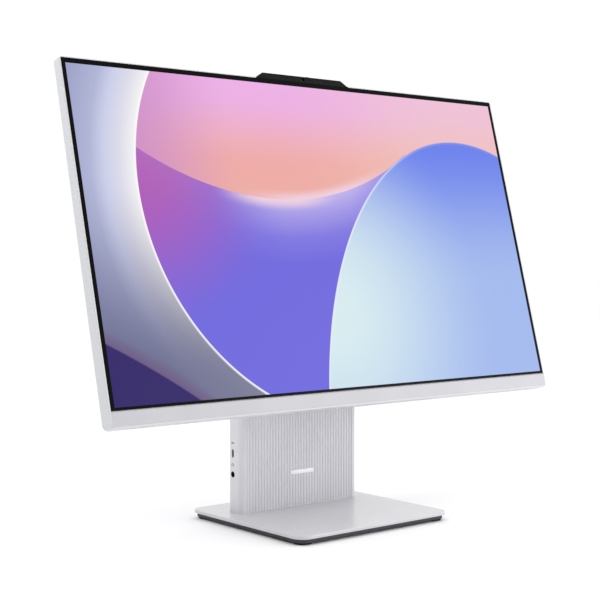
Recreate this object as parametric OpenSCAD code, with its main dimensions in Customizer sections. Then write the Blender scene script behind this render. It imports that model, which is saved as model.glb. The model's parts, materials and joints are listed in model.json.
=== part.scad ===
// All in one computer: a thin tilting display on a slab-shaped computer column and a flat base.
// Millimetres, +Z up, screen faces -Y, origin under the centre of the base.

/* [Display] */
// Width of the display over its shell
display_w = 610; // [560:1:640]
// Height of the shell above the centre of the picture
shell_top = 174.4; // [174:0.1:178]
// Depth of the shell below the centre of the picture
shell_bottom = 189; // [186:0.2:196]
// Thickness of the display at its upper edge
shell_t = 12.5; // [12:0.5:14]
// Thickness of the display at its lower edge
shell_low_t = 18; // [16:0.5:18.5]
// Thickness of the display over its central pod
pod_t = 22; // [21:0.5:23]
// Wall thickness of the plastic shell
wall = 2; // [1.6:0.1:2.2]
// Radius of the shell's upper corners
top_r = 4; // [3.5:0.5:5]
// Radius of the shell's lower corners
bottom_r = 6; // [4:0.5:6]
// Backward lean of the screen at rest
tilt = 15; // [10:1:18]
// Height of the centre of the picture above the table
screen_z = 314.5; // [313:0.5:318]
// Distance of the centre of the picture in front of the stand's centre
screen_front = 12.8; // [12:0.1:14]

/* [Camera] */
// Width of the camera housing at its foot
camera_w = 132; // [120:1:140]
// Height of the camera housing's top above the centre of the picture
camera_top = 180.1; // [180:0.1:182]
// Travel of the privacy shutter
shutter_travel = 8.5; // [8.3:0.1:8.5]

/* [Hinge] */
// Distance of the tilt axis behind the stand's centre
pivot_y = 23.5; // [23:0.5:24]
// Height of the tilt axis
pivot_z = 300; // [299:0.5:301]
// Radius of the hinge pins
pin_r = 4; // [3.5:0.1:4.2]
// Radial running clearance of the pins in the hinge arms
pin_clearance = 0.05; // [0.02:0.01:0.1]

/* [Column] */
// Width of the column
column_w = 168; // [162:1:168]
// Depth of the column from front to back
column_d = 23.7; // [23:0.1:25]
// Distance of the column's front face behind the stand's centre
column_front = 36.3; // [35.5:0.1:37]
// Height of the column's top above the table
column_top = 380; // [370:1:385]
// Radius of the column's vertical edges
column_r = 6; // [5:0.5:8]
// Distance between the front reeds
reed_pitch = 4; // [3:0.5:6]
// Radius of each reed's rounded face
reed_r = 2.8; // [2.4:0.1:4]
// Width of the reeded face
reeds_w = 152; // [144:8:152]

/* [Fan] */
// Radius of the fan's blade ring
fan_r = 34; // [30:1:35]
// Number of fan blades
fan_blades = 15; // [9:1:21]

/* [Base] */
// Width of the base plate
base_w = 213; // [205:0.5:230]
// Depth of the base plate
base_d = 193.6; // [180:0.2:200]
// Distance of the base's centre behind the stand's centre
base_back = 4.1; // [0:0.1:6]
// Height of the base plate's upper face
base_top_z = 10; // [10:0.5:12]
// Corner radius of the base plate
base_r = 14; // [10:1:20]
// Radius of each rubber foot
foot_r = 9.5; // [7:0.5:10]

/* [Hidden] */
$fn = 48;
eps = 0.01;

half_w = display_w / 2;
glass_w = display_w - 4;            // glass between the side walls of the shell
glass_top = 173;
glass_bottom = -171.7;
cell_t = 1.6;                       // thickness of the liquid crystal cell
chin_top = -172;
chassis_front = 6.2;                // steel chassis plate inside the display
chassis_rear = 7;
plate_front = 17.2;                 // tilt bracket's plate behind the chassis
plate_rear = 19.7;
pivot_dy = pivot_y + screen_front;
pivot_dz = pivot_z - screen_z;
pivot_depth = pivot_dy * cos(tilt) - pivot_dz * sin(tilt);  // tilt axis behind the glass
pivot_up = pivot_dy * sin(tilt) + pivot_dz * cos(tilt);     // tilt axis above the picture centre
bracket_holes = [for (x = [-40, 40], z = [-18, 18]) [x, pivot_up + z]];

column_back = column_front + column_d;
column_mid = column_front + column_d / 2;
cover_t = 2.4;                      // thickness of the column's covers
seam_y = column_front + 19.7;       // joint between front and rear cover
grille_t = 2.5;
frame_front = column_front + cover_t + 0.3;
frame_rear = frame_front + 1.6;
board_front = frame_rear + 2;
board_rear = board_front + 1.6;
board_holes = [for (x = [-69, 69], z = [24, 118, 212]) [x, z]];
port_y = 51;                        // depth of the side ports' axis
side_x = column_w / 2;              // the column's side faces
button_y = 49;
ports_z = 62;                       // height of the row of rear ports
ports_rear = column_back - 0.4;
fan_x = 6;
fan_z = 272;
memory_z = [75, 111];               // lower edge of each memory module
arm_x = 28;                         // inner face of each hinge arm
arm_t = 4;
ear_x = 34.3;                       // inner face of each ear of the tilt bracket
button_travel = 0.8;
collar_x = side_x - 3.8;             // inner face of each button's collar
power_z = 100;
small_buttons_z = [84, 76, 68];     // brightness up, brightness down, input
small_r = 2.4;
power_r = 4.9;
tray_bottom = 2.1;
plate_bottom = 6.4;
base_screws_at = [for (x = [-50, 50], y = [43.5, 53.5]) [x, y]];

// ---- shared shapes ----

// Box between two opposite corners
module span(low, high) translate(low) cube(high - low);

// Rectangle with round corners, centred
module round_rect(w, d, r) {
    square([w - 2 * r, d], center = true);
    square([w, d - 2 * r], center = true);
    for (x = [-1, 1], y = [-1, 1]) translate([x * (w / 2 - r), y * (d / 2 - r)]) circle(r);
}

// Cylinders along each axis, from one end
module rod_x(r, x0, x1) translate([x0, 0, 0]) rotate([0, 90, 0]) cylinder(r = r, h = x1 - x0);
module rod_y(r, y0, y1) translate([0, y1, 0]) rotate([90, 0, 0]) cylinder(r = r, h = y1 - y0);

// Outline drawn in X and Z, given depth from y0 to y1
module depth(y0, y1) translate([0, y1, 0]) rotate([90, 0, 0]) linear_extrude(y1 - y0) children();

// Profile drawn in Y and Z, run along X from x0 to x1
module along_x(x0, x1)
    translate([x0, 0, 0]) rotate([90, 0, 90]) linear_extrude(x1 - x0) children();

// Display parts are drawn with X across, Y into the display and Z up the screen
module on_display() translate([0, -screen_front, screen_z]) rotate([-tilt, 0, 0]) children();

// The column and the display stand ahead of the base's centre
module on_base() translate([0, -base_back, 0]) children();

// Pan-head screw pointing to -Y, with its head's underside at y = 0
module screw(r, length, head_r, head_t) {
    rod_y(r, -length, 0);
    difference() {
        rod_y(head_r, 0, head_t);
        translate([0, head_t - 0.6, 0]) for (a = [0, 90]) rotate([0, a, 0])
            translate([-head_r * 0.6, 0, -0.4]) cube([head_r * 1.2, 1, 0.8]);
    }
}

// ---- display ----

module lcd_panel() color("#0b0b0d") on_display()
    span([-glass_w / 2, 0, glass_bottom], [glass_w / 2, cell_t, glass_top]);

module light_guide() color("#f4f6f8") on_display()
    span([-299.5, 2.2, -168], [299.5, 5, 170.4]);

module led_strip() color("#e8e2c0") on_display() {
    span([-298, 4, -170.2], [298, 5, -168.2]);
    for (x = [-290:20:290]) span([x - 3, 2.6, -170], [x + 3, 4, -168.2]);
}

module backlight_tray() color("#c9ccd0") on_display() difference() {
    span([-301.5, 1.8, -171], [301.5, 5.8, 171.6]);
    span([-300.7, 1.8 - eps, -170.4], [300.7, 5, 171]);
}

module display_chassis() color("#aeb2b7") on_display() {
    difference() {
        span([-296, chassis_front, -166], [296, chassis_rear, 168]);
        for (x = [-1, 1], z = [-1, 1]) translate([x * 190, 0, z * 90])
            depth(chassis_front - 1, chassis_rear + 1) round_rect(150, 90, 12);
    }
    for (hole = bracket_holes) translate([hole[0], 0, hole[1]]) difference() {
        rod_y(4.5, chassis_rear - eps, plate_front);
        rod_y(2, chassis_rear + 1, plate_front + 1);
    }
    for (x = [-54, 54], z = [-145, -117]) translate([x, 0, z]) rod_y(2.5, chassis_rear - eps, 8.6);
    for (x = [-280, 280], z = [-120, 0, 120]) translate([x, 0, z]) difference() {
        rod_y(3.4, chassis_rear - eps, shell_depth(z) - wall - 0.1);
        rod_y(1.6, chassis_rear + 0.4, shell_depth(z));
    }
}

module chin_bezel() color("#d6d6da") on_display() along_x(-glass_w / 2, glass_w / 2)
    polygon([[0, chin_top - 1], [1, chin_top], [2.4, chin_top], [2.4, -shell_bottom + wall],
        [0.5, -shell_bottom + wall], [0, -shell_bottom + wall + 0.5]]);

// The shell gets thicker from its upper edge to its lower one
function shell_depth(z) = shell_t + (shell_top - z) * (shell_low_t - shell_t) / (shell_top + shell_bottom);

// Corners of the shell, drawn in by an inset and ended short of its rear; a hull joins them up
module shell_corners(inset, y0, short) for (x = [-1, 1]) {
    translate([x * (half_w - top_r), 0, shell_top - top_r]) rod_y(top_r - inset, y0, shell_t - short);
    translate([x * (half_w - bottom_r), 0, bottom_r - shell_bottom])
        rod_y(bottom_r - inset, y0, shell_low_t - short);
}

// Raised pod that holds the tilt bracket and the driver board
module pod(inset, y0, y1) hull() {
    translate([0, 0, -38]) depth(y0, y0 + 1) round_rect(340 - 2 * inset, 226 - 2 * inset, 14);
    translate([0, 0, -38]) depth(y1 - 1, y1) round_rect(316 - 2 * inset, 202 - 2 * inset, 14);
}

module display_rear_cover() color("#e2e4e7") on_display() difference() {
    union() {
        hull() {
            shell_corners(0.5, 0, 6);
            shell_corners(0, 0.5, 3);
            for (a = [30, 60, 90]) shell_corners(3 * (1 - cos(a)), 1, 3 - 3 * sin(a));
        }
        pod(0, shell_t - 0.5, pod_t);
    }
    along_x(-glass_w / 2 - 0.1, glass_w / 2 + 0.1) polygon([[-1, wall - shell_bottom],
        [shell_low_t - wall, wall - shell_bottom], [shell_t - wall, shell_top - 1.2], [-1, shell_top - 1.2]]);
    pod(wall, shell_t - wall, pod_t - wall);
    span([-46, pod_t - 3, pivot_up - 24], [46, pod_t + 1, pivot_up + 24]);
    span([-camera_w / 2 - 0.3, -1, 170], [camera_w / 2 + 0.3, 9.3, shell_top + 1]);
    for (side = [-1, 1], i = [0:7])
        translate([side * (206 + i * 10), 0, 0]) span([-3, 8, -192], [3, 11, -187]);
    for (x = [-280, 280], z = [-120, 0, 120]) translate([x, 0, z]) {
        rod_y(1.6, 0, shell_depth(z) + 1);
        rod_y(3.2, shell_depth(z) - 1, shell_depth(z) + 1);
    }
}

module driver_board() color("#1e6b3c") on_display() {
    span([-60, 8.6, -150], [60, 10.2, -112]);
    color("#22252a") for (x = [-36, 0, 36]) span([x - 7, 10.2, -140], [x + 7, 11.6, -126]);
    color("#d8d4c4") for (x = [-30, 20]) span([x, 10.2, -121], [x + 24, 12.4, -115]);
}

module display_ribbon() color("#c8761e") on_display() {
    span([-8, 8.2, -112], [8, 8.6, pivot_up]);
    span([-8, 8.2, pivot_up], [8, pivot_depth - 3, pivot_up + 0.4]);
}

// One speaker box with its round driver
module speaker(side) on_display() translate([side * 240, 0, -158]) {
    color("#1b1c1f") difference() {
        span([-42, 7.2, -16], [42, 11.8, 16]);
        translate([side * 20, 0, 0]) rod_y(12, 6, 8.4);
    }
    color("#55585c") translate([side * 20, 0, 0]) rod_y(9, 7.4, 8.4);
}
module speaker_left() speaker(-1);
module speaker_right() speaker(1);

module wifi_antennas() color("#b5a642") on_display() for (side = [-1, 1]) {
    span([side * 200 - 22, 7.2, 158], [side * 200 + 22, 7.8, 168]);
    span([side * 200 - 2, 7.8, 150], [side * 200 + 2, 9, 164]);
}

module camera_housing() color("#141517") on_display() difference() {
    union() {
        depth(0, 9) polygon([[-camera_w / 2, 173.2], [camera_w / 2, 173.2],
            [camera_w / 2 - 10, camera_top], [-camera_w / 2 + 10, camera_top]]);
        span([-60, 2, 171.6], [60, 5.6, 173.3]);
    }
    span([-50, 1.2, 173], [50, 7.8, 179]);
    span([5.9 - shutter_travel, 1.2, 178], [10.9, 3.4, camera_top + 1]);
    translate([0, 0, 176.6]) rod_y(2.2, -1, 2);
    for (x = [-30, 30]) translate([x, 0, 176.6]) rod_y(0.6, -1, 2);
}

module camera_board() color("#174c2c") on_display() {
    span([-46, 4.6, 173.4], [46, 5.4, 178.6]);
    color("#d0cdbf") for (x = [-30, 30]) span([x - 2, 3.4, 175.2], [x + 2, 4.6, 178]);
    color("#101114") span([-3, 4, 174], [3, 4.6, 178.4]);
}

module camera_lens() color("#2c4a3a") on_display() translate([0, 0, 176.6]) {
    rod_y(1.5, 2.6, 4);
    rod_y(1.1, 2.3, 2.7);
}

module privacy_shutter() color("#1d1e20") on_display() {
    span([4, 1.5, 174], [13, 2, 178.7]);
    span([6.5, 1.5, 178.4], [10.5, 3.1, camera_top + 1]);
}

module tilt_bracket() color("#8d9197") on_display() difference() {
    union() {
        span([-52, plate_front, pivot_up - 27], [52, plate_rear, pivot_up + 27]);
        for (side = [-1, 1]) along_x(side * (ear_x + 2) - 2, side * (ear_x + 2) + 2) {
            translate([plate_rear - 1, pivot_up - 9]) square([pivot_depth - plate_rear + 1, 18]);
            translate([pivot_depth, pivot_up]) circle(9);
        }
    }
    translate([0, pivot_depth, pivot_up]) rod_x(pin_r, -60, 60);
    for (hole = bracket_holes) translate([hole[0], 0, hole[1]]) rod_y(2, 10, 25);
    span([-14, plate_front - 1, pivot_up - 8], [14, plate_rear + 1, pivot_up + 8]);
}

// Each pin has a flat head outside the ear and a nut on the inner side of the arm
module hinge_pins() color("#b9bcc0") translate([0, pivot_y, pivot_z])
    for (side = [0, 1]) mirror([side, 0, 0]) {
        rod_x(pin_r, 22, ear_x + 5);
        rod_x(6.5, ear_x + 4, ear_x + 6);
        difference() {
            translate([24, 0, 0]) rotate([0, 90, 0]) cylinder(r = 6.5, h = 3.2, $fn = 6);
            rod_x(pin_r - eps, 23, 28);
        }
    }

module friction_washers() color("#c6a24a") translate([0, pivot_y, pivot_z])
    for (side = [0, 1]) mirror([side, 0, 0]) difference() {
        rod_x(7.5, arm_x + arm_t, ear_x - 0.1);
        rod_x(pin_r + pin_clearance, arm_x, ear_x + 1);
    }

module bracket_screws() color("#6f7378") on_display()
    for (hole = bracket_holes) translate([hole[0], plate_rear, hole[1]]) screw(2, 10, 3.6, 2);

module bracket_cover() color("#d4d6da") on_display() translate([0, 0, pivot_up]) difference() {
    union() {
        depth(pod_t, pod_t + 1.2) round_rect(112, 54, 6);
        depth(pod_t, pod_t + 11) round_rect(102, 34, 6);
    }
    depth(pod_t - 1, pod_t + 12) round_rect(98, 30, 4);
}

module display_screws() color("#9a9da1") on_display()
    for (x = [-280, 280], z = [-120, 0, 120]) translate([x, shell_depth(z) - 1, z])
        screw(1.6, 4.8, 3, 0.9);

// ---- column ----

// Outline of the column in X and Y, drawn in by an inset
module column_outline(inset)
    translate([0, column_mid]) round_rect(column_w - 2 * inset, column_d - 2 * inset, column_r - inset);

// The outline with a row of convex reeds across its front
module reeded_outline() {
    difference() {
        column_outline(0);
        translate([-reeds_w / 2, column_front - 1]) square([reeds_w, 1 + reed_pitch / 2]);
    }
    for (x = [(reed_pitch - reeds_w) / 2:reed_pitch:reeds_w / 2]) translate([x, column_front])
        intersection() {
            translate([0, reed_r]) circle(reed_r);
            translate([-reed_pitch / 2, 0]) square([reed_pitch, reed_pitch / 2 + eps]);
        }
}

module column_front_cover() color("#cdd0d4") difference() {
    translate([0, 0, base_top_z]) linear_extrude(column_top - grille_t - base_top_z) difference() {
        reeded_outline();
        column_outline(cover_t);
        translate([-column_w, seam_y]) square([2 * column_w, column_d]);
    }
    span([-44, column_front - 1, pivot_z - 13], [44, column_front + 3, pivot_z + 13]);
    translate([-side_x - 1, port_y, 0]) {
        for (z = [-2.95, 2.95]) translate([0, 0, 75 + z]) rod_x(1.8, 0, 5);
        span([0, -1.8, 75 - 2.95], [5, 1.8, 75 + 2.95]);
        translate([0, 0, 52]) rod_x(3.35, 0, 5);
    }
    translate([side_x - 4, button_y, 0]) {
        translate([0, 0, power_z]) rod_x(power_r + 0.3, 0, 5);
        for (z = small_buttons_z) translate([0, 0, z]) rod_x(small_r + 0.3, 0, 5);
        span([0, -1.6, 26.4], [5, 1.6, 33.6]);
    }
}

// Openings for the rear ports, larger than each port by a gap
module port_cuts(y0, y1, gap) {
    translate([60, 0, ports_z]) rod_y(4.5 + gap, y0, y1);
    for (p = [[36, 16, 13.6], [13, 15.2, 5.8], [-9, 15.2, 5.8], [-31, 14.4, 6.8], [-52, 14.4, 6.8]])
        span([p[0] - p[1] / 2 - gap, y0, ports_z - p[2] / 2 - gap],
            [p[0] + p[1] / 2 + gap, y1, ports_z + p[2] / 2 + gap]);
}

module column_rear_cover() color("#d4d7da") difference() {
    translate([0, 0, base_top_z]) linear_extrude(column_top - grille_t - base_top_z) difference() {
        column_outline(0);
        translate([0, column_mid - 5]) square([column_w - 2 * cover_t, column_d], center = true);
        translate([-column_w, seam_y + 0.2 - column_d]) square([2 * column_w, column_d]);
        translate([-70, column_back - cover_t - 2]) square([140, 2]);
    }
    port_cuts(column_back - 5, column_back + 1, 0.2);
    for (x = [-63:7:63], z = [232, 272]) span([x - 1.5, column_back - 4, z],
        [x + 1.5, column_back + 1, z + 34]);
}

module column_top_grille() color("#c3c6ca") difference() {
    translate([0, 0, column_top - grille_t]) linear_extrude(grille_t) column_outline(0);
    for (x = [-66:6:66]) span([x - 1.5, column_mid - 7, column_top - 4],
        [x + 1.5, column_mid + 7, column_top + 1]);
}

module column_frame() color("#a7abb0") difference() {
    union() {
        span([-75, frame_front, base_top_z], [75, frame_rear, 372]);
        span([-70, frame_front, base_top_z], [70, 57, base_top_z + 2.5]);
        for (x = [-75, 73.4]) span([x, frame_front, 30], [x + 1.6, frame_rear + 3, 372]);
        for (hole = board_holes) translate([hole[0], 0, hole[1]]) rod_y(3, frame_rear - eps, board_front);
    }
    for (side = [-1, 1]) span([side * 30 - 3, frame_front - 1, 284], [side * 30 + 3, frame_rear + 1, 316]);
    span([-12, frame_front - 1, 292], [12, frame_rear + 1, 308]);
    for (z = [140, 190]) translate([0, 0, z])
        depth(frame_front - 1, frame_rear + 1) round_rect(90, 34, 6);
    for (hole = board_holes) translate([hole[0], 0, hole[1]]) rod_y(1.5, frame_front - 1, board_front + 1);
    for (x = [-20, 20], z = [278, 322]) translate([x, 0, z]) rod_y(2, frame_front - 1, frame_rear + 1);
    for (at = base_screws_at) translate([at[0], at[1], base_top_z - 1]) cylinder(r = 2.5, h = 5);
}

module hinge_arms() color("#8d9197") difference() {
    union() {
        span([-38, frame_rear, 270], [38, frame_rear + 2.5, 330]);
        for (side = [-1, 1]) along_x(side * (arm_x + arm_t / 2) - arm_t / 2, side * (arm_x + arm_t / 2) + arm_t / 2) {
            translate([pivot_y, pivot_z - 9]) square([frame_rear + 1 - pivot_y, 18]);
            translate([pivot_y, pivot_z]) circle(9);
        }
    }
    translate([0, pivot_y, pivot_z]) rod_x(pin_r + pin_clearance, -60, 60);
    for (x = [-20, 20], z = [278, 322]) translate([x, 0, z]) rod_y(2, frame_rear - 1, frame_rear + 4);
    span([-12, frame_rear - 1, 292], [12, frame_rear + 4, 308]);
}

module hinge_cover() color("#c9ccd0") difference() {
    depth(pivot_y + 2, column_front) translate([0, pivot_z]) round_rect(92, 32, 5);
    depth(pivot_y + 1, column_front + 1) translate([0, pivot_z]) round_rect(88, 28, 3);
}

module hinge_screws() color("#6f7378") for (x = [-20, 20], z = [278, 322])
    translate([x, frame_rear + 2.5, z]) screw(2, 4, 3.6, 2);

module stand_ribbon() color("#c8761e") {
    span([-8, pivot_y + 3, pivot_z - 0.2], [8, 44.6, pivot_z + 0.2]);
    span([-8, 44.2, 222], [8, 44.6, pivot_z - 0.2]);
    span([-8, 44.2, 206], [8, 44.6, 222]);
}

module mainboard() {
    color("#1d5f38") difference() {
        span([-73, board_front, 20], [73, board_rear, 216]);
        for (hole = board_holes) translate([hole[0], 0, hole[1]]) rod_y(1.5, board_front - 1, board_rear + 1);
    }
    color("#24272b") {
        span([-66, board_rear, 192], [-52, board_rear + 1.4, 206]);
        span([28, board_rear, 24], [52, board_rear + 1.6, 44]);
        for (i = [0:4]) span([-62 + i * 9, board_rear, 132], [-56 + i * 9, board_rear + 1.9, 138]);
        for (z = memory_z) span([2, board_rear, z - 4], [72, board_rear + 1.8, z]);
        span([-14, board_rear, 192], [-9, board_rear + 1.8, 212]);
        span([34, board_rear, 164], [38, board_rear + 1.8, 184]);
    }
    color("#cdd0d3") for (i = [0:5]) translate([-66 + i * 7, 0, 30]) rod_y(2.4, board_rear - eps, board_rear + 5);
}

module processor() {
    color("#2f6b3a") span([-46, board_rear, 147], [-6, board_rear + 1.2, 185]);
    color("#b7babd") span([-36, board_rear + 1.2, 157], [-16, board_rear + 2, 175]);
}

module cold_plate() color("#c77b4a") difference() {
    span([-53, board_rear + 2, 144], [1, board_rear + 4, 188]);
    for (x = [-50, -2], z = [147, 185]) translate([x, 0, z]) rod_y(1.2, board_rear, board_rear + 5);
}

// Flat pipe: across the cold plate, up the left side and across the fins
module heat_pipe() color("#b8693a") {
    r = 4;
    path = [[-4, 166], [-50, 166], [-50, 328], [44, 328]];
    depth(board_rear + 4, board_rear + 7) {
        for (p = path) translate(p) circle(r);
        for (i = [0:2]) {
            low = [min(path[i][0], path[i + 1][0]), min(path[i][1], path[i + 1][1])];
            high = [max(path[i][0], path[i + 1][0]), max(path[i][1], path[i + 1][1])];
            flat = low[0] == high[0] ? [r, 0] : [0, r];
            translate(low - flat) square(high - low + 2 * flat);
        }
    }
}

module fin_stack() color("#d9dbde") {
    y0 = board_rear + 7;
    span([-42, y0, 320], [50, y0 + 0.8, 344]);
    for (x = [-42:4:49]) span([x, y0 + 0.8, 320], [x + 0.5, y0 + 5.2, 344]);
    span([-42, y0 + 5.2, 320], [50, y0 + 5.7, 344]);
}

module fan_housing() color("#1c1d20") translate([fan_x, 0, fan_z]) {
    difference() {
        union() {
            depth(46.6, 56.4) round_rect(80, 86, 10);
            span([-36, 46.6, 30], [36, 56.4, 46]);
            for (at = [[-36, -38], [36, -38], [36, 38]]) translate([at[0], 0, at[1]])
                rod_y(2.5, frame_rear, 47);
        }
        depth(47.4, 55.6) circle(fan_r + 3);
        span([-33, 47.4, 12], [33, 55.6, 47]);
        depth(55, 57) circle(24);
    }
    rod_y(1.5, 47.4 - eps, 54);
}

module fan_impeller() color("#2a2c30") translate([fan_x, 0, fan_z]) difference() {
    union() {
        depth(47.8, 55) circle(12);
        for (i = [0:fan_blades - 1]) rotate([0, i * 360 / fan_blades, 0])
            translate([11, 0, 0]) rotate([0, 18, 0]) span([0, 48.2, -0.5], [fan_r - 12.6, 54.6, 0.5]);
        depth(51, 51.8) difference() {
            circle(fan_r);
            circle(fan_r - 2);
        }
    }
    rod_y(1.55, 47, 56);
}

module memory_modules() for (z = memory_z) {
    color("#1f6a3b") span([3, board_rear + 2, z], [70.6, board_rear + 3.2, z + 30]);
    color("#1b1c1f") for (x = [8:16:60]) span([x, board_rear + 3.2, z + 9], [x + 10, board_rear + 4.2, z + 21]);
}

module solid_state_drive() {
    color("#1f3f6a") span([-8.8, board_rear + 2, 191], [71.2, board_rear + 2.8, 213]);
    color("#1b1c1f") for (x = [2, 22, 46]) span([x, board_rear + 2.8, 194], [x + 14, board_rear + 4, 210]);
}

module wifi_card() {
    color("#1f6a3b") span([38.2, board_rear + 2, 163], [68.2, board_rear + 2.8, 185]);
    color("#c3c6ca") span([44, board_rear + 2.8, 165], [62, board_rear + 4.2, 183]);
}

module coin_cell() color("#c8cacc") translate([-52, 0, 104]) {
    rod_y(10, board_rear + 0.8, board_rear + 4);
    rod_y(8, board_rear, board_rear + 0.8);
}

module board_screws() color("#6f7378")
    for (hole = board_holes) translate([hole[0], board_rear, hole[1]]) screw(1.5, 5, 2.8, 1.6);

module side_port_board() color("#1d5f38") {
    span([5 - side_x, 46.6, 43], [22 - side_x, 48.2, 86]);
    color("#24272b") span([9 - side_x, board_rear, 60], [18 - side_x, 46.6, 80]);
}

// Rounded slot drawn in Y and Z, tall along Z
module tall_slot(w, h) {
    square([w, h - w], center = true);
    for (z = [-1, 1]) translate([0, z * (h - w) / 2]) circle(w / 2);
}

module usb_c_port() color("#8f9398") translate([-side_x, port_y, 75]) {
    difference() {
        along_x(0.6, 9) tall_slot(3.3, 9.2);
        along_x(0, 7.5) tall_slot(2.7, 8.5);
    }
    along_x(2, 8) square([0.7, 6.6], center = true);
    span([5, 48.2 - port_y, -2], [8, -1.6, 2]);
}

module audio_jack() color("#17181a") translate([-side_x, port_y, 52]) difference() {
    union() {
        rod_x(3.3, 0.1, 4);
        span([3.6, -2.8, -3.2], [17, 2.8, 3.2]);
    }
    rod_x(1.8, -1, 15);
}

module dc_inlet() translate([60, 0, ports_z]) {
    color("#17181a") difference() {
        union() {
            rod_y(4.4, 50, ports_rear);
            span([-5, board_rear, -5], [5, 54, 5]);
        }
        rod_y(3.2, 47, ports_rear + 1);
    }
    color("#c9b26a") rod_y(0.8, 46.8, ports_rear - 2);
}

// Metal shell of a rear port, open to the rear down to a floor
module port_shell(x, w, h, skin, floor_y) translate([x, 0, ports_z]) difference() {
    span([-w / 2, board_rear, -h / 2], [w / 2, ports_rear, h / 2]);
    span([-w / 2 + skin, floor_y, -h / 2 + skin], [w / 2 - skin, ports_rear + 1, h / 2 - skin]);
}

module ethernet_port() {
    color("#a4a8ac") port_shell(36, 16, 13.6, 2, 47);
    color("#c9b26a") for (i = [0:7])
        span([36 - 4.4 + i * 1.1, 47 - eps, ports_z + 3.4], [36 - 3.9 + i * 1.1, 56, ports_z + 4]);
}

module hdmi_ports() for (x = [13, -9]) {
    color("#a4a8ac") port_shell(x, 15.2, 5.8, 0.6, 48);
    color("#17181a") span([x - 5.5, 47.9, ports_z - 0.6], [x + 5.5, 57, ports_z + 0.6]);
}

module usb_a_ports() for (x = [-31, -52]) {
    color("#a4a8ac") port_shell(x, 14.4, 6.8, 0.8, 48);
    color("#2b57a8") span([x - 5.8, 47.9, ports_z + 0.2], [x + 5.8, 58, ports_z + 2]);
}

module io_plate() color("#b3b7bb") difference() {
    span([-69, column_back - 3.4, 50], [69, column_back - cover_t - 0.1, 74]);
    port_cuts(column_back - 5, column_back, 0.1);
}

// Round button with a collar behind the cover, drawn with its axis along X
module side_button(r, z) translate([0, button_y, z]) {
    rod_x(r, collar_x + 0.4, side_x + 0.3);
    rod_x(r + 1.1, collar_x, collar_x + 1.1);
}
module power_button() color("#bfc2c6") side_button(power_r, power_z);
module brightness_up_button() color("#bfc2c6") side_button(small_r, small_buttons_z[0]);
module brightness_down_button() color("#bfc2c6") side_button(small_r, small_buttons_z[1]);
module input_button() color("#bfc2c6") side_button(small_r, small_buttons_z[2]);

module button_board() {
    color("#1d5f38") span([side_x - 6.8, 45.4, 62], [side_x - 5.8, 54, 108]);
    color("#24272b") for (z = concat(small_buttons_z, [power_z])) span([side_x - 5.8, button_y - 1.6, z - 1.6],
        [collar_x - button_travel - 0.3, button_y + 1.6, z + 1.6]);
    color("#24272b") span([side_x - 9, 46, 88], [side_x - 6.8, 53, 94]);
}

// ---- base ----

module base_plate() color("#eceef0") difference() {
    hull() {
        translate([0, 0, plate_bottom]) linear_extrude(base_top_z - plate_bottom - 0.8)
            round_rect(base_w, base_d, base_r);
        translate([0, 0, plate_bottom]) linear_extrude(base_top_z - plate_bottom)
            round_rect(base_w - 1.6, base_d - 1.6, base_r - 0.8);
    }
    for (at = base_screws_at) translate([at[0], at[1] - base_back, plate_bottom - 1]) cylinder(r = 2.5, h = 6);
}

module base_weight() color("#85898e") difference() {
    translate([0, 0, 3.2]) linear_extrude(plate_bottom - 3.2) round_rect(192, 168, 8);
    for (at = base_screws_at) translate([at[0], at[1] - base_back, 3]) {
        cylinder(r = 2.5, h = 5);
        cylinder(r = 4.6, h = 2.4);
    }
}

module base_tray() color("#3a3b40") difference() {
    translate([0, 0, tray_bottom]) linear_extrude(plate_bottom - tray_bottom)
        round_rect(base_w - 6, base_d - 6, base_r - 3);
    translate([0, 0, 3.2]) linear_extrude(5) round_rect(base_w - 16, base_d - 16, 9);
}

module rubber_feet() color("#26272a") for (x = [-1, 1], y = [-1, 1])
    translate([x * (base_w / 2 - 14), y * (base_d / 2 - 14), 0]) cylinder(r = foot_r, h = tray_bottom);

module base_screws() color("#6f7378") for (at = base_screws_at) translate([at[0], at[1] - base_back, 3.2]) {
    cylinder(r = 4.5, h = 2);
    cylinder(r = 2.5, h = 10);
}

on_base() {
    lcd_panel();
    light_guide();
    led_strip();
    backlight_tray();
    display_chassis();
    chin_bezel();
    display_rear_cover();
    driver_board();
    display_ribbon();
    speaker_left();
    speaker_right();
    wifi_antennas();
    camera_housing();
    camera_board();
    camera_lens();
    privacy_shutter();
    tilt_bracket();
    hinge_pins();
    bracket_screws();
    bracket_cover();
    display_screws();
    column_front_cover();
    column_rear_cover();
    column_top_grille();
    column_frame();
    hinge_arms();
    friction_washers();
    hinge_cover();
    hinge_screws();
    stand_ribbon();
    mainboard();
    processor();
    cold_plate();
    heat_pipe();
    fin_stack();
    fan_housing();
    fan_impeller();
    memory_modules();
    solid_state_drive();
    wifi_card();
    coin_cell();
    board_screws();
    side_port_board();
    usb_c_port();
    audio_jack();
    dc_inlet();
    ethernet_port();
    hdmi_ports();
    usb_a_ports();
    io_plate();
    power_button();
    brightness_up_button();
    brightness_down_button();
    input_button();
    button_board();
}
base_plate();
base_weight();
base_tray();
rubber_feet();
base_screws();
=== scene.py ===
import json
from math import cos, pi, radians, sin

import bmesh
import bpy
from mathutils import Matrix, Vector


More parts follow.
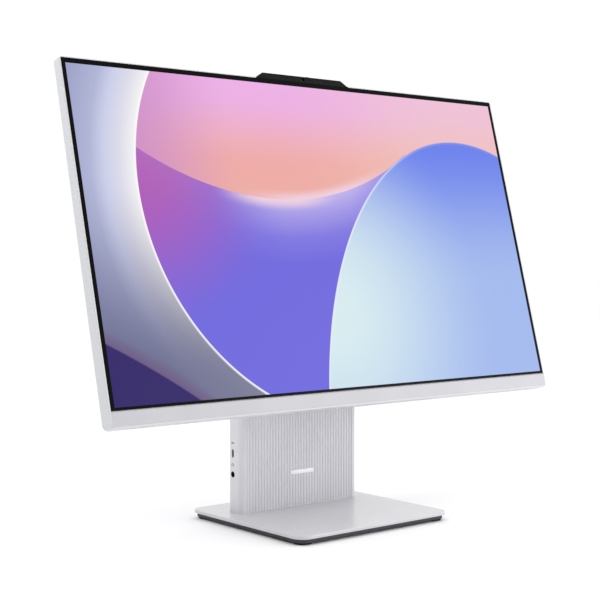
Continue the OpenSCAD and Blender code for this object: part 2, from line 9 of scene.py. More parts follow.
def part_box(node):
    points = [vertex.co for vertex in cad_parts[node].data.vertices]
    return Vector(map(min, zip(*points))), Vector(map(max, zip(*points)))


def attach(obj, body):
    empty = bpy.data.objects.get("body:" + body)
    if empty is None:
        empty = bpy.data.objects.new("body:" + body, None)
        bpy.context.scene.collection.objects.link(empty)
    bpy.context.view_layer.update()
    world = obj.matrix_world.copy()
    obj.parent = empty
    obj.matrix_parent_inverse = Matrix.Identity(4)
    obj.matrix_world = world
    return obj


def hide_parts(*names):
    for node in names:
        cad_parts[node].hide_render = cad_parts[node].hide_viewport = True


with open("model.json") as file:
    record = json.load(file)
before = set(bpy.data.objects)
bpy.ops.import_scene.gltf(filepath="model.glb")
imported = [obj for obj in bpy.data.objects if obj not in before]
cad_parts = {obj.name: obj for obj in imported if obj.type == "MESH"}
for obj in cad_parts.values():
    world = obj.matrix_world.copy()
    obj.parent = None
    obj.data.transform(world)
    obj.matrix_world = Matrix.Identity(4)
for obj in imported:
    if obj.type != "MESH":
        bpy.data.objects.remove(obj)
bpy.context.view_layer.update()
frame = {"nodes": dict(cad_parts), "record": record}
mm = 0.001
bodyOf = {node: body for body, nodes in frame["record"]["behaviour"]["bodies"].items() for node in nodes}
slotOf = {row["node"]: row["material_slot"] for row in frame["record"]["subparts"]}

# The picture lies on the glass, so every display piece is drawn flat and then leant back with it.
screen = {"lean": radians(15), "above": 173 * mm, "below": 171.7 * mm, "halfWidth": 303 * mm,
          "pictureWidth": 597.1 * mm, "pictureHeight": 337.2 * mm, "pictureDrop": 0.8 * mm,
          "glass": 1.6 * mm, "cornerEase": 0.6 * mm, "rimEase": 0.25 * mm}
glassLow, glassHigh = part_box("lcd_panel")
pictureCentre = Vector((0, glassLow.y + screen["below"] * sin(screen["lean"]),
                        glassHigh.z - screen["above"] * cos(screen["lean"])))
leanBack = Matrix.Translation(pictureCentre) @ Matrix.Rotation(-screen["lean"], 4, "X")


def addNode(tree, kind, values=None, **settings):
    node = tree.nodes.new("ShaderNode" + kind)
    for key, value in settings.items():
        setattr(node, key, value)
    for key, value in (values or {}).items():
        if isinstance(value, bpy.types.NodeSocket):
            tree.links.new(value, node.inputs[key])
        else:
            node.inputs[key].default_value = value
    return node


def calc(tree, operation, first, second=0.0, clamp=False):
    return addNode(tree, "Math", {0: first, 1: second}, operation=operation, use_clamp=clamp).outputs[0]


def fade(tree, value, start, end, low=0.0, high=1.0):  # smooth step from start to end
    node = addNode(tree, "MapRange", {"Value": value, "From Min": start, "From Max": end,
                                      "To Min": low, "To Max": high}, interpolation_type="SMOOTHSTEP")
    return node.outputs["Result"]


def blendColours(tree, factor, first, second, way="MIX"):
    node = addNode(tree, "Mix", {0: factor, 6: first, 7: second}, data_type="RGBA", blend_type=way)
    return node.outputs[2]


def tint(red, green, blue):  # screen values 0 to 255 into linear light
    def straight(value):
        value = value / 255
        return value / 12.92 if value <= 0.04045 else ((value + 0.055) / 1.055) ** 2.4
    return (straight(red), straight(green), straight(blue), 1.0)


def darker(colour, amount):
    return tuple(channel * amount for channel in colour[:3]) + (1.0,)


def newMaterial(name):
    material = bpy.data.materials.new(name)
    material.use_nodes = True
    return material, material.node_tree, material.node_tree.nodes["Principled BSDF"]


def objectPlace(tree, stretch=(1, 1, 1), turn=(0, 0, 0), move=(0, 0, 0)):
    place = addNode(tree, "TexCoord").outputs["Object"]
    return addNode(tree, "Mapping", {"Vector": place, "Scale": stretch, "Rotation": turn,
                                     "Location": move}).outputs["Vector"]


def noise(tree, place, scale, detail=3.0, rough=0.5):
    return addNode(tree, "TexNoise", {"Vector": place, "Scale": scale, "Detail": detail,
                                      "Roughness": rough}).outputs["Fac"]


def bump(tree, height, depth, strength=1.0):
    node = addNode(tree, "Bump", {"Height": height, "Distance": depth, "Strength": strength})
    return node.outputs["Normal"]


def mouldedFinish(name, spec):
    # spark-textured plastic or paint: fine grain, faint clouding, and roughness that wanders with it
    material, tree, shader = newMaterial(name)
    place = objectPlace(tree)
    cloud = noise(tree, place, spec.get("cloud", 18), 2)
    grain = noise(tree, place, spec["grain"], 4, 0.6)
    colour = blendColours(tree, fade(tree, cloud, 0.3, 0.7), darker(spec["colour"], spec.get("shade", 0.96)),
                          spec["colour"])
    speck = fade(tree, grain, 0.35, 0.65, spec.get("speck", 0.97), 1.0)
    speckled = addNode(tree, "CombineColor", {0: speck, 1: speck, 2: speck}).outputs[0]
    colour = blendColours(tree, 1.0, colour, speckled, "MULTIPLY")
    tree.links.new(colour, shader.inputs["Base Color"])
    low, high = spec["roughness"]
    tree.links.new(fade(tree, grain, 0.3, 0.7, low, high), shader.inputs["Roughness"])
    tree.links.new(bump(tree, grain, spec["depth"], 0.6), shader.inputs["Normal"])
    shader.inputs["Specular IOR Level"].default_value = spec.get("specular", 0.4)
    shader.inputs["Coat Weight"].default_value = spec.get("coat", 0.0)
    shader.inputs["Coat Roughness"].default_value = 0.2
    return material


def metalFinish(name, spec):
    # drawn or brushed metal: long scratches along one direction, with a little tarnish
    material, tree, shader = newMaterial(name)
    lines = noise(tree, objectPlace(tree, spec["stretch"]), spec["grain"], 5, 0.7)
    cloud = noise(tree, objectPlace(tree), spec.get("cloud", 45), 3)
    colour = blendColours(tree, fade(tree, cloud, 0.35, 0.75), darker(spec["colour"], 0.8), spec["colour"])
    colour = blendColours(tree, fade(tree, lines, 0.4, 0.8, 0.0, 0.25), colour, darker(spec["colour"], 1.15))
    tree.links.new(colour, shader.inputs["Base Color"])
    low, high = spec["roughness"]
    tree.links.new(fade(tree, lines, 0.3, 0.7, low, high), shader.inputs["Roughness"])
    tree.links.new(bump(tree, lines, spec["depth"], 0.5), shader.inputs["Normal"])
    shader.inputs["Metallic"].default_value = 1.0
    return material


def boardFinish(name, spec):
    # circuit board: solder mask over copper tracks, with pads and plated holes
    material, tree, shader = newMaterial(name)
    place = objectPlace(tree)
    tracks = addNode(tree, "TexBrick", {
        "Vector": objectPlace(tree, turn=(pi / 2, 0, 0)), "Scale": spec["scale"], "Mortar Size": 0.035,
        "Mortar Smooth": 0.3, "Color1": spec["mask"], "Color2": darker(spec["mask"], 0.82),
        "Mortar": spec["track"]})
    pads = addNode(tree, "TexVoronoi", {"Vector": place, "Scale": spec["pads"]}).outputs["Distance"]
    padMask = fade(tree, pads, 0.16, 0.12)
    colour = blendColours(tree, padMask, tracks.outputs["Color"], spec["copper"])
    tree.links.new(colour, shader.inputs["Base Color"])
    tree.links.new(fade(tree, padMask, 0, 1, 0.38, 0.25), shader.inputs["Roughness"])
    tree.links.new(padMask, shader.inputs["Metallic"])
    tree.links.new(bump(tree, tracks.outputs["Fac"], 0.00004, 0.5), shader.inputs["Normal"])
    return material


def foilFinish(name, spec):
    # ribbon cable: parallel conductors showing through amber film
    material, tree, shader = newMaterial(name)
    place = objectPlace(tree)
    stripes = addNode(tree, "TexWave", {"Vector": place, "Scale": spec["conductors"], "Distortion": 0.0},
                      wave_type="BANDS", bands_direction="X").outputs["Fac"]
    colour = blendColours(tree, fade(tree, stripes, 0.4, 0.6), darker(spec["colour"], 0.6), spec["colour"])
    tree.links.new(colour, shader.inputs["Base Color"])
    tree.links.new(bump(tree, stripes, 0.00005, 0.6), shader.inputs["Normal"])
    shader.inputs["Roughness"].default_value = 0.3
    return material


finishes = {
    "shell_plastic": mouldedFinish("shellPlastic", {
        "colour": tint(206, 207, 210), "grain": 2600, "depth": 0.00002, "roughness": (0.42, 0.55),
        "speck": 0.985, "shade": 0.99}),
    "bezel_plastic": mouldedFinish("bezelPlastic", {
        "colour": tint(195, 194, 199), "grain": 3000, "depth": 0.00002, "roughness": (0.4, 0.52)}),
    "reeded_plastic": mouldedFinish("reededPlastic", {
        "colour": tint(218, 217, 222), "grain": 2400, "depth": 0.000006, "roughness": (0.34, 0.46)}),
    "base_paint": mouldedFinish("basePaint", {
        "colour": tint(204, 204, 208), "grain": 3400, "depth": 0.000006, "roughness": (0.2, 0.28),
        "coat": 0.2, "speck": 0.985}),
    "tray_plastic": mouldedFinish("trayPlastic", {
        "colour": tint(58, 59, 65), "grain": 1800, "depth": 0.00003, "roughness": (0.45, 0.6)}),
    "foot_rubber": mouldedFinish("footRubber", {
        "colour": tint(34, 34, 37), "grain": 1500, "depth": 0.00005, "roughness": (0.7, 0.85),
        "specular": 0.2}),
    "black_plastic": mouldedFinish("blackPlastic", {
        "colour": tint(10, 10, 12), "grain": 2600, "depth": 0.00002, "roughness": (0.5, 0.62),
        "specular": 0.12}),
    "shutter_plastic": mouldedFinish("shutterPlastic", {
        "colour": tint(32, 32, 34), "grain": 2600, "depth": 0.00003, "roughness": (0.5, 0.62),
        "specular": 0.3}),
    "button_plastic": mouldedFinish("buttonPlastic", {
        "colour": tint(214, 215, 219), "grain": 3000, "depth": 0.00001, "roughness": (0.3, 0.4)}),
    "clear_acrylic": mouldedFinish("clearAcrylic", {
        "colour": tint(244, 246, 248), "grain": 400, "depth": 0.00001, "roughness": (0.08, 0.16)}),
    "led_board": mouldedFinish("ledBoard", {
        "colour": tint(236, 230, 205), "grain": 900, "depth": 0.00002, "roughness": (0.35, 0.5)}),
    "tray_metal": metalFinish("trayMetal", {
        "colour": tint(214, 216, 219), "stretch": (1, 8, 8), "grain": 160, "depth": 0.00001,
        "roughness": (0.28, 0.42)}),
    "zinc_steel": metalFinish("zincSteel", {
        "colour": tint(196, 199, 204), "stretch": (6, 6, 1), "grain": 120, "depth": 0.00001,
        "roughness": (0.3, 0.5)}),
    "bracket_steel": metalFinish("bracketSteel", {
        "colour": tint(172, 175, 180), "stretch": (8, 1, 8), "grain": 260, "depth": 0.00001,
        "roughness": (0.25, 0.4)}),
    "bright_steel": metalFinish("brightSteel", {
        "colour": tint(214, 215, 218), "stretch": (1, 12, 12), "grain": 300, "depth": 0.000006,
        "roughness": (0.12, 0.24)}),
    "screw_steel": metalFinish("screwSteel", {
        "colour": tint(138, 140, 145), "stretch": (3, 3, 3), "grain": 700, "depth": 0.00001,
        "roughness": (0.25, 0.4)}),
    "port_metal": metalFinish("portMetal", {
        "colour": tint(188, 190, 195), "stretch": (1, 6, 1), "grain": 500, "depth": 0.000008,
        "roughness": (0.2, 0.34)}),
    "fin_aluminium": metalFinish("finAluminium", {
        "colour": tint(226, 228, 230), "stretch": (1, 10, 1), "grain": 300, "depth": 0.000008,
        "roughness": (0.25, 0.38)}),
    "washer_brass": metalFinish("washerBrass", {
        "colour": tint(206, 176, 104), "stretch": (4, 4, 4), "grain": 400, "depth": 0.000008,
        "roughness": (0.22, 0.36)}),
    "antenna_foil": metalFinish("antennaFoil", {
        "colour": tint(200, 178, 116), "stretch": (1, 9, 9), "grain": 240, "depth": 0.00001,
        "roughness": (0.25, 0.4)}),
    "copper": metalFinish("bareCopper", {
        "colour": tint(206, 140, 100), "stretch": (3, 3, 1), "grain": 220, "depth": 0.00001,
        "roughness": (0.2, 0.36)}),
    "circuit_board": boardFinish("circuitBoard", {
        "mask": tint(20, 84, 48), "track": tint(46, 122, 74), "copper": tint(214, 178, 110),
        "scale": 90, "pads": 240}),
    "ribbon_film": foilFinish("ribbonFilm", {"colour": tint(206, 128, 52), "conductors": 320}),
}


# The lit picture: overlapping discs in soft gradients, inside a black printed border.
# Places, radii and distances are in millimetres from the picture's centre.
picture = {
    "band": {"centre": (-56, 379), "radius": (342, 342)},
    "rightDisc": {"centre": (225, -275), "radius": (273, 391)},
    "leftHollow": {"centre": (12, 43), "radius": (248.4, 248.4)},
    "cornerDisc": {"centre": (-720, -900), "radius": (896, 896)},
    "magentaSpot": (-245, 75), "haloSpot": (-60, 40), "lipSpot": (0, 45), "paleSpot": (-20, -85),
    "edge": 0.5, "cornerEdge": 1.2, "glow": 1.0,
}


def pictureSpot(tree):  # across and up the picture, in metres
    upright = Matrix.Rotation(screen["lean"], 3, "X")
    place = objectPlace(tree, turn=(screen["lean"], 0, 0), move=-(upright @ pictureCentre))
    split = addNode(tree, "SeparateXYZ", {"Vector": place})
    return split.outputs["X"], split.outputs["Z"]


def pictureSheet(tree):  # the same spot in millimetres, kept with its node tree
    across, up = (calc(tree, "MULTIPLY", value, 1 / mm) for value in pictureSpot(tree))
    flat = addNode(tree, "CombineXYZ", {"X": across, "Y": up}).outputs[0]
    return {"tree": tree, "across": across, "up": up, "flat": flat}


def reach(sheet, centre):  # distance from a point of the picture
    node = addNode(sheet["tree"], "VectorMath", {0: sheet["flat"], 1: (*centre, 0)}, operation="DISTANCE")
    return node.outputs["Value"]


def outside(sheet, disc):  # distance outside a disc's edge, squeezed where the disc is an ellipse
    tree, middle, radius = sheet["tree"], disc["centre"], disc["radius"]
    moved = addNode(tree, "Mapping", {"Vector": sheet["flat"], "Location": (-middle[0], -middle[1], 0)})
    squeezed = addNode(tree, "VectorMath", {0: moved.outputs["Vector"], 1: (1, radius[0] / radius[1], 0)},
                       operation="MULTIPLY")
    length = addNode(tree, "VectorMath", {0: squeezed.outputs["Vector"]}, operation="LENGTH")
    return calc(tree, "SUBTRACT", length.outputs["Value"], radius[0])


def inside(tree, distance, soft=picture["edge"]):
    return fade(tree, distance, soft, -soft)


def ramp(tree, value, start, end, stops):  # a colour for each stop between two distances
    share = addNode(tree, "MapRange", {"Value": value, "From Min": start, "From Max": end}).outputs["Result"]
    node = addNode(tree, "ValToRGB", {"Fac": share})
    while len(node.color_ramp.elements) < len(stops):
        node.color_ramp.elements.new(0.5)
    for element, (position, colour) in zip(node.color_ramp.elements, stops):
        element.position = position
        element.color = colour
    return node.outputs["Color"]


def fieldColour(sheet, overBand):
    # middle field: violet, magenta in the upper left and lavender just under the band
    tree, across = sheet["tree"], sheet["across"]
    magenta = fade(tree, reach(sheet, picture["magentaSpot"]), 20, 190)
    colour = blendColours(tree, magenta, tint(176, 92, 182), tint(113, 106, 222))
    levels = ((0.0, 0.85), (0.25, 0.5), (0.6, 0.14), (1.0, 0.0))
    glow = ramp(tree, overBand, 0, 70, [(place, (level, level, level, 1)) for place, level in levels])
    glow = calc(tree, "MULTIPLY", glow, fade(tree, across, -160, -50, 0.1, 1.0))
    glow = calc(tree, "MULTIPLY", glow, fade(tree, across, 30, 110, 1.0, 0.5))
    colour = blendColours(tree, glow, colour, tint(202, 188, 238))
    halo = calc(tree, "MULTIPLY", fade(tree, overBand, 14, 0),
                fade(tree, reach(sheet, picture["haloSpot"]), 90, 20))
    return blendColours(tree, halo, colour, tint(236, 208, 222))


def bandColour(sheet, overBand):
    # band across the top: pink, then peach, paler towards its lower edge and its right end
    tree, across = sheet["tree"], sheet["across"]
    colour = ramp(tree, sheet["up"], 165, 45, [
        (0.0, tint(236, 176, 230)), (0.2, tint(236, 175, 224)), (0.38, tint(237, 175, 205)),
        (0.55, tint(238, 174, 184)), (0.72, tint(238, 170, 168)), (1.0, tint(237, 172, 163))])
    colour = blendColours(tree, fade(tree, across, -60, 220, 0, 0.42), colour, tint(241, 214, 190))
    lip = calc(tree, "MULTIPLY", fade(tree, overBand, -12, 0),
               fade(tree, reach(sheet, picture["lipSpot"]), 125, 30))
    colour = blendColours(tree, lip, colour, tint(240, 206, 219))
    return blendColours(tree, fade(tree, across, -100, -250, 0, 0.9), colour, tint(204, 142, 200))


def rightDiscColour(sheet, overRight):
    # right disc: blue at its crown, pale cyan low on the left, a light rim on its left side
    tree = sheet["tree"]
    colour = blendColours(tree, fade(tree, sheet["up"], 125, -60), tint(106, 128, 235), tint(163, 185, 236))
    pale = fade(tree, reach(sheet, picture["paleSpot"]), 0, 265, 1, 0)
    colour = blendColours(tree, pale, colour, tint(216, 236, 239))
    rim = calc(tree, "MULTIPLY", fade(tree, overRight, -2.6, -0.6),
               fade(tree, sheet["across"], 190, 20, 0.1, 0.85))
    return blendColours(tree, rim, colour, tint(236, 236, 244))


def crescentColour(sheet, overLeft):
    # left crescent: white at its lip, periwinkle outside, greyer low down
    tree = sheet["tree"]
    colour = ramp(tree, overLeft, 0, 80, [
        (0.0, tint(244, 243, 243)), (0.25, tint(219, 218, 233)), (0.45, tint(204, 207, 233)),
        (0.65, tint(176, 180, 213)), (1.0, tint(159, 163, 200))])
    colour = blendColours(tree, fade(tree, sheet["up"], 60, -150, 0, 0.88), colour, tint(98, 100, 134))
    return blendColours(tree, fade(tree, overLeft, 0.6, 3.4, 0.95, 0), colour, tint(252, 252, 252))


def pictureColour(sheet):
    tree, across = sheet["tree"], sheet["across"]
    overBand = outside(sheet, picture["band"])
    overRight = outside(sheet, picture["rightDisc"])
    overLeft = outside(sheet, picture["leftHollow"])
    overCorner = outside(sheet, picture["cornerDisc"])
    bandMask = calc(tree, "MAXIMUM", inside(tree, overBand), fade(tree, across, 130, 140))
    colour = blendColours(tree, bandMask, fieldColour(sheet, overBand), bandColour(sheet, overBand))
    colour = blendColours(tree, inside(tree, overRight), colour, rightDiscColour(sheet, overRight))
    crescentMask = calc(tree, "MULTIPLY", fade(tree, across, 20, 0), fade(tree, overLeft, -0.5, 0.5))
    colour = blendColours(tree, crescentMask, colour, crescentColour(sheet, overLeft))
    # dark disc in the lower left corner, with a blurred plum edge
    plum = calc(tree, "MULTIPLY", fade(tree, overCorner, 16, 0), 0.45)
    colour = blendColours(tree, plum, colour, tint(112, 66, 116))
    return blendColours(tree, inside(tree, overCorner, picture["cornerEdge"]), colour, tint(54, 42, 106))


def litArea(sheet):  # 1 on the lit picture, 0 on the black border
    tree = sheet["tree"]
    fromMiddle = calc(tree, "ABSOLUTE", sheet["across"])
    aboveMiddle = calc(tree, "ABSOLUTE", calc(tree, "ADD", sheet["up"], screen["pictureDrop"] / mm))
    insideWidth = calc(tree, "LESS_THAN", fromMiddle, screen["pictureWidth"] / mm / 2)
    insideHeight = calc(tree, "LESS_THAN", aboveMiddle, screen["pictureHeight"] / mm / 2)
    return calc(tree, "MULTIPLY", insideWidth, insideHeight)


def screenFinish():
    material, tree, shader = newMaterial("litScreen")
    sheet = pictureSheet(tree)
    shown = blendColours(tree, litArea(sheet), (0, 0, 0, 1), pictureColour(sheet))
    tree.links.new(shown, shader.inputs["Emission Color"])
    shader.inputs["Emission Strength"].default_value = picture["glow"]
    haze = noise(tree, sheet["flat"], 1.5, 3)
    tree.links.new(blendColours(tree, haze, tint(4, 4, 6), tint(9, 9, 11)), shader.inputs["Base Color"])
    tree.links.new(fade(tree, haze, 0.3, 0.7, 0.28, 0.38), shader.inputs["Roughness"])
    tree.links.new(bump(tree, haze, 0.000004, 0.3), shader.inputs["Normal"])
    shader.inputs["Specular IOR Level"].default_value = 0.05
    return material


# The profile runs from the barrel's rear, round its lip, to the crown of the glass:
# radius and depth behind the screen's front, in millimetres.
lens = {"up": 176.6 * mm, "steps": 36,
        "profile": ((0, 4), (1.5, 4), (1.5, 2.7), (1.4, 2.6), (1.2, 2.72), (1.1, 2.65), (0.85, 2.45),
                    (0.45, 2.33), (0, 2.3))}


def lensFinish():
    # coated glass: dark pupil, and the coating's green and violet sheen painted into the colour as rings
    material, tree, shader = newMaterial("cameraGlass")
    across, up = pictureSpot(tree)
    flat = addNode(tree, "CombineXYZ", {"X": across, "Y": up}).outputs[0]
    middle = (0, lens["up"], 0)
    away = addNode(tree, "VectorMath", {0: flat, 1: middle}, operation="DISTANCE").outputs["Value"]
    # painted sheen: a green ring round the dark pupil, then violet out to the lip
    rings = fade(tree, away, 0.3 * mm, 1.2 * mm)
    colour = blendColours(tree, rings, tint(14, 20, 22), tint(44, 84, 66))
    colour = blendColours(tree, fade(tree, away, 1.3 * mm, 1.9 * mm), colour, tint(26, 24, 44))
    tree.links.new(colour, shader.inputs["Base Color"])
    tree.links.new(fade(tree, noise(tree, flat, 900), 0.3, 0.7, 0.03, 0.08), shader.inputs["Roughness"])
    shader.inputs["Coat Weight"].default_value = 0.6
    return material


finishes["screen_glass"] = screenFinish()
finishes["lens_glass"] = lensFinish()
print("finishes made:", len(finishes))

for node, part in frame["nodes"].items():
    part.data.materials.clear()
    part.data.materials.append(finishes[slotOf[node]])


def finishPiece(bm, name, nodes, body, slot, place=None, smooth=32):
    if place is not None:
        bmesh.ops.transform(bm, matrix=place, verts=bm.verts)
    bmesh.ops.recalc_face_normals(bm, faces=bm.faces)
    mesh = bpy.data.meshes.new(name)
    bm.to_mesh(mesh)
    bm.free()
    mesh.materials.append(finishes[slot])
    if "custom_normal" in mesh.attributes:  # stored normals would undo the shading set below
        mesh.attributes.remove(mesh.attributes["custom_normal"])
    mesh.set_sharp_from_angle(angle=radians(smooth))
    for face in mesh.polygons:  # wide faces stay flat, narrow ones are part of a rounding
        longest = max((mesh.vertices[a].co - mesh.vertices[b].co).length for a, b in face.edge_keys)
        face.use_smooth = face.area < 6 * mm * longest
    piece = bpy.data.objects.new(name, mesh)
    bpy.context.scene.collection.objects.link(piece)
    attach(piece, body)
    if nodes:
        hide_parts(*nodes)
    return piece


def bevelEdges(bm, edges, width, segments=3):
    bmesh.ops.bevel(bm, geom=edges, offset=width, offset_type="OFFSET", segments=segments, profile=0.5,
                    affect="EDGES", material=-1, clamp_overlap=True)


def sharpEdges(bm, angle):
    joined = [edge for edge in bm.edges if len(edge.link_faces) == 2]
    return [edge for edge in joined if edge.calc_face_angle() > radians(angle)]


def refine(node, name, width=0, segments=2, smooth=32):
    # a merged copy of a part's own mesh, its hard edges eased by the width
    bm = bmesh.new()
    bm.from_mesh(frame["nodes"][node].data)
    bmesh.ops.remove_doubles(bm, verts=bm.verts, dist=0.002 * mm)
    bmesh.ops.dissolve_limit(bm, angle_limit=radians(0.5), verts=bm.verts, edges=bm.edges)
    if width:
        bevelEdges(bm, sharpEdges(bm, 40), width, segments)
    finishPiece(bm, name, [node], bodyOf[node], slotOf[node], smooth=smooth)


def block(low, high):
    bm = bmesh.new()
    addBlock(bm, low, high)
    return bm


def addBlock(bm, low, high):
    low, high = Vector(low), Vector(high)
    size = high - low
    matrix = Matrix.Translation((low + high) / 2) @ Matrix.Diagonal((size.x, size.y, size.z, 1))
    bmesh.ops.create_cube(bm, size=1, matrix=matrix)


def uprights(bm, axis=2):  # edges that run along one axis
    return [edge for edge in bm.edges
            if abs((edge.verts[0].co - edge.verts[1].co).normalized()[axis]) > 0.99]


def rimEdges(bm, axis, value):  # edges that lie in one plane
    return [edge for edge in bm.edges if all(abs(vert.co[axis] - value) < 1e-7 for vert in edge.verts)]


def makeScreenGlass():
    low = (-screen["halfWidth"], 0, -screen["below"])
    high = (screen["halfWidth"], screen["glass"], screen["above"])
    bm = block(low, high)
    bevelEdges(bm, uprights(bm, 1), screen["cornerEase"], 3)
    bevelEdges(bm, rimEdges(bm, 1, 0), screen["rimEase"], 2)
    finishPiece(bm, "screenGlass", ["lcd_panel"], "display", "screen_glass", leanBack)


chin = {"top": -172 * mm, "bottom": -187 * mm, "depth": 2.4 * mm, "slope": 1.5 * mm, "ease": 0.3 * mm}


def makeChin():
    bm = bmesh.new()
    profile = [(0, chin["top"] - chin["slope"]), (chin["slope"], chin["top"]), (chin["depth"], chin["top"]),
               (chin["depth"], chin["bottom"]), (0, chin["bottom"])]
    face = bm.faces.new([bm.verts.new((-screen["halfWidth"], y, z)) for y, z in profile])
    side = bmesh.ops.extrude_face_region(bm, geom=[face])
    moved = [item for item in side["geom"] if isinstance(item, bmesh.types.BMVert)]
    bmesh.ops.translate(bm, vec=(2 * screen["halfWidth"], 0, 0), verts=moved)
    front = [edge for edge in uprights(bm, 0) if all(vert.co.y < 1e-6 for vert in edge.verts)]
    bevelEdges(bm, front, chin["ease"], 3)
    finishPiece(bm, "chinBezel", ["chin_bezel"], "display", "bezel_plastic", leanBack, 25)


makeScreenGlass()
makeChin()
refine("display_rear_cover", "rearShell")
refine("camera_housing", "cameraHousing", 0.3 * mm)
refine("privacy_shutter", "privacyShutter", 0.12 * mm)


def makeLens():
    bm = bmesh.new()
    points = [bm.verts.new((radius * mm, depth * mm, 0)) for radius, depth in lens["profile"]]
    edges = [bm.edges.new(pair) for pair in zip(points, points[1:])]
    bmesh.ops.spin(bm, geom=points + edges, cent=(0, 0, 0), axis=(0, 1, 0), angle=2 * pi, steps=lens["steps"],
                   use_merge=True)
    bmesh.ops.remove_doubles(bm, verts=bm.verts, dist=0.001 * mm)
    place = leanBack @ Matrix.Translation((0, 0, lens["up"]))
    finishPiece(bm, "cameraLens", ["camera_lens"], "display", "lens_glass", place, 50)


makeLens()
print("display made")

refine("column_front_cover", "reededCover", smooth=28)
refine("column_rear_cover", "rearCover", 0.2 * mm)
refine("column_top_grille", "topGrille", 0.3 * mm)
refine("hinge_cover", "hingeCover", 0.4 * mm, 3)
refine("bracket_cover", "hingeShroud", 0.3 * mm, 3)
for node, name in (("power_button", "powerButton"), ("brightness_up_button", "brightnessUpButton"),
                   ("brightness_down_button", "brightnessDownButton"), ("input_button", "inputButton")):
    refine(node, name, 0.3 * mm, 3)

badge = {"width": 34 * mm, "height": 4.4 * mm, "centre": 2 * mm, "z": 48.5 * mm, "proud": 0.4 * mm,
         "root": 0.4 * mm, "ease": 0.1 * mm}


def makeBadge():
    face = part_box("column_front_cover")[0].y
    half = badge["width"] / 2
    front = face - badge["proud"]
    bm = block((badge["centre"] - half, front, badge["z"] - badge["height"] / 2),
               (badge["centre"] + half, face + badge["root"], badge["z"] + badge["height"] / 2))
    bevelEdges(bm, uprights(bm, 1), badge["height"] * 0.499, 8)
    bevelEdges(bm, rimEdges(bm, 1, front), badge["ease"], 2)
    piece = finishPiece(bm, "plainBadge", [], "stand", "base_paint")
    piece.data.materials[0] = mouldedFinish("badgeEnamel", {
        "colour": tint(250, 250, 252), "grain": 3400, "depth": 0.000004, "roughness": (0.2, 0.3)})


def arcBand(near, far, radii, sweep, steps, turn):
    # a thin ring, or part of one, about the x axis
    inner, outer = radii
    bm = bmesh.new()
    section = [bm.verts.new((x, 0, radius)) for x, radius in
               ((near, inner), (near, outer), (far, outer), (far, inner))]
    ring = bm.faces.new(section)
    bmesh.ops.spin(bm, geom=[ring], cent=(0, 0, 0), axis=(1, 0, 0), angle=sweep, steps=steps)
    bmesh.ops.rotate(bm, cent=(0, 0, 0), matrix=Matrix.Rotation(turn, 3, "X"), verts=bm.verts)
    return bm


marks = {"portMark": 86.5 * mm, "dash": 4.6 * mm, "dashHeight": 1.2 * mm, "headsetMark": 62.6 * mm,
         "headband": (1.3 * mm, 1.7 * mm), "pad": 0.45 * mm, "padAt": 1.5 * mm, "padDrop": 1.6 * mm,
         "padRise": 0.1 * mm, "forward": 0.6 * mm, "thick": 0.06 * mm, "root": 0.2 * mm}


def makeMarks():
    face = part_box("column_front_cover")[0].x
    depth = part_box("usb_c_port")
    middle = (depth[0].y + depth[1].y) / 2 + marks["forward"]
    out, back = face - marks["thick"], face + marks["root"]
    bm = block((out, middle - marks["dash"] / 2, marks["portMark"] - marks["dashHeight"] / 2),
               (back, middle + marks["dash"] / 2, marks["portMark"] + marks["dashHeight"] / 2))
    bevelEdges(bm, uprights(bm, 0), marks["dashHeight"] * 0.4, 3)
    finishPiece(bm, "portMark", [], "stand", "tray_plastic")
    bm = arcBand(out, back, marks["headband"], pi, 16, -pi / 2)
    for side in (-marks["padAt"], marks["padAt"]):  # ear pads under the band's ends
        addBlock(bm, (out, side - marks["pad"], -marks["padDrop"]),
                 (back, side + marks["pad"], marks["padRise"]))
    finishPiece(bm, "headsetMark", [], "stand", "tray_plastic",
                Matrix.Translation((0, middle, marks["headsetMark"])))


powerMark = {"root": 0.1 * mm, "proud": 0.05 * mm, "ring": (1.7 * mm, 2.1 * mm), "open": radians(80),
             "bar": 0.2 * mm, "barFrom": 0.5 * mm, "barTo": 2.3 * mm}


def makePowerMark():
    low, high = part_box("power_button")
    root, out = high.x - powerMark["root"], high.x + powerMark["proud"]
    centre = (low + high) / 2
    bm = arcBand(root, out, powerMark["ring"], 2 * pi - powerMark["open"], 28, powerMark["open"] / 2)
    addBlock(bm, (root, -powerMark["bar"], powerMark["barFrom"]), (out, powerMark["bar"], powerMark["barTo"]))
    finishPiece(bm, "powerMark", [], "power_key", "tray_plastic", Matrix.Translation((0, centre.y, centre.z)))


makeBadge()
makeMarks()
makePowerMark()
print("column made")

basePlate = {"corner": 14 * mm, "topEase": 0.9 * mm, "lowEase": 0.4 * mm}


def makeBase():
    low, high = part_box("base_plate")
    bm = block(low, high)
    bevelEdges(bm, uprights(bm), basePlate["corner"], 14)
    bevelEdges(bm, rimEdges(bm, 2, high.z), basePlate["topEase"], 4)
    bevelEdges(bm, rimEdges(bm, 2, low.z), basePlate["lowEase"], 2)
    finishPiece(bm, "basePlate", ["base_plate"], "stand", "base_paint", smooth=40)
    refine("base_tray", "baseTray", 0.5 * mm, 3)


foot = {"radius": 9.5 * mm, "steps": 40, "ease": 0.5 * mm, "margin": 1.2 * mm, "ring": 0.5 * mm,
        "ringDepth": 0.25 * mm}


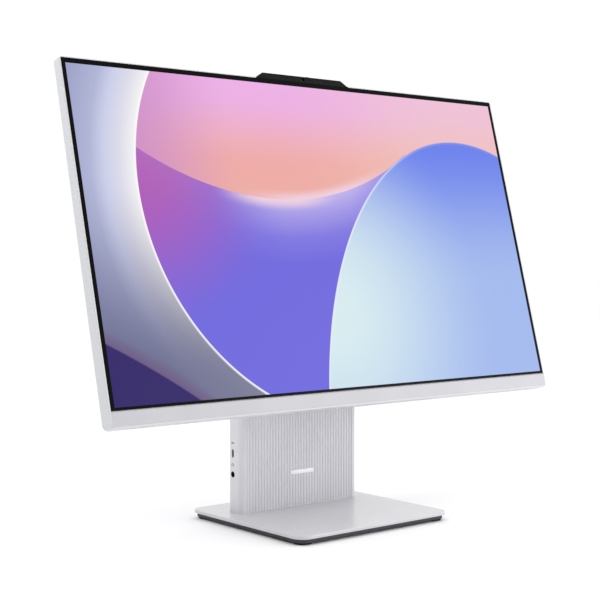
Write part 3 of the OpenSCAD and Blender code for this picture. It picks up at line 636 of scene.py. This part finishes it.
def makeFeet():
    low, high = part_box("rubber_feet")
    radius = foot["radius"]
    bm = bmesh.new()
    for x in (low.x + radius, high.x - radius):
        for y in (low.y + radius, high.y - radius):
            place = Matrix.Translation((x, y, (low.z + high.z) / 2))
            bmesh.ops.create_cone(bm, cap_ends=True, segments=foot["steps"], radius1=radius, radius2=radius,
                                  depth=high.z - low.z, matrix=place)
    bevelEdges(bm, rimEdges(bm, 2, low.z), foot["ease"], 3)
    soles = [face for face in bm.faces if face.normal.z < -0.99 and len(face.verts) > 8]
    for sole in soles:  # a shallow grip ring in each sole
        for inset, deep in ((foot["margin"], 0), (foot["ring"], foot["ringDepth"]),
                            (foot["ring"], -foot["ringDepth"])):
            bmesh.ops.inset_region(bm, faces=[sole], thickness=inset, depth=0)
            if deep:
                bmesh.ops.translate(bm, vec=(0, 0, deep), verts=sole.verts)
    finishPiece(bm, "rubberFeet", ["rubber_feet"], "stand", "foot_rubber")


makeBase()
makeFeet()
print("base made")

camera = {"place": (-0.9281, -1.093, 0.293), "heading": 39.48, "dip": 2.05, "lens": 78.39}


def makeCamera():
    data = bpy.data.cameras.new("studioCamera")
    data.lens = camera["lens"]
    data.sensor_width = 36
    data.clip_end = 100
    holder = bpy.data.objects.new("studioCamera", data)
    holder.location = camera["place"]
    holder.rotation_euler = (radians(90 - camera["dip"]), 0, radians(-camera["heading"]))
    bpy.context.scene.collection.objects.link(holder)
    bpy.context.scene.camera = holder


studio = {"floor": 12, "aimAt": Vector((0, 0, 0.25)),
          "world": 1.02, "flag": {"towards": (-0.9, -0.42, 0.05), "dims": 0.6, "from": 0.05},
          "keyLight": {"place": (0.9, -1.0, 0.35), "size": 0.8, "power": 5},
          "sideLight": {"place": (-0.95, 0.15, 0.95), "size": 0.4, "power": 2.6},
          "skyLight": {"aim": (-0.1, 0.15, -1), "spread": 100, "power": 0.62}}


def makeFloor():
    bm = bmesh.new()
    bmesh.ops.create_grid(bm, x_segments=1, y_segments=1, size=studio["floor"])
    mesh = bpy.data.meshes.new("floor")
    bm.to_mesh(mesh)
    bm.free()
    material, tree, shader = newMaterial("palePaper")
    soft = noise(tree, objectPlace(tree), 3, 2)
    tree.links.new(blendColours(tree, soft, (0.93, 0.93, 0.935, 1), (0.95, 0.95, 0.955, 1)),
                   shader.inputs["Base Color"])
    shader.inputs["Roughness"].default_value = 0.9
    shader.inputs["Specular IOR Level"].default_value = 0.1
    mesh.materials.append(material)
    floor = bpy.data.objects.new("floor", mesh)
    bpy.context.scene.collection.objects.link(floor)


def addLamp(name, kind, power, aim):
    data = bpy.data.lights.new(name, kind)
    data.energy = power
    lamp = bpy.data.objects.new(name, data)
    lamp.rotation_euler = aim.to_track_quat("-Z", "Y").to_euler()
    bpy.context.scene.collection.objects.link(lamp)
    return lamp


def makeLight():
    world = bpy.data.worlds.new("studio")
    world.use_nodes = True
    tree = world.node_tree
    background = tree.nodes["Background"]
    background.inputs["Color"].default_value = (1, 1, 1, 1)
    # white all round but for a grey flag on the left of the set
    flag = studio["flag"]
    outward = addNode(tree, "TexCoord").outputs["Generated"]
    facing = addNode(tree, "VectorMath", {0: outward, 1: Vector(flag["towards"]).normalized()},
                     operation="DOT_PRODUCT").outputs["Value"]
    tree.links.new(fade(tree, facing, flag["from"], 1.0, studio["world"], studio["world"] - flag["dims"]),
                   background.inputs["Strength"])
    bpy.context.scene.world = world
    for name in ("keyLight", "sideLight"):
        spec = studio[name]
        lamp = addLamp(name, "AREA", spec["power"], studio["aimAt"] - Vector(spec["place"]))
        lamp.location = spec["place"]
        lamp.data.shape = "DISK"
        lamp.data.size = spec["size"]
    spec = studio["skyLight"]
    addLamp("skyLight", "SUN", spec["power"], Vector(spec["aim"])).data.angle = radians(spec["spread"])


makeCamera()
makeFloor()
makeLight()
bpy.context.scene.view_settings.view_transform = "Standard"
print("stage made")
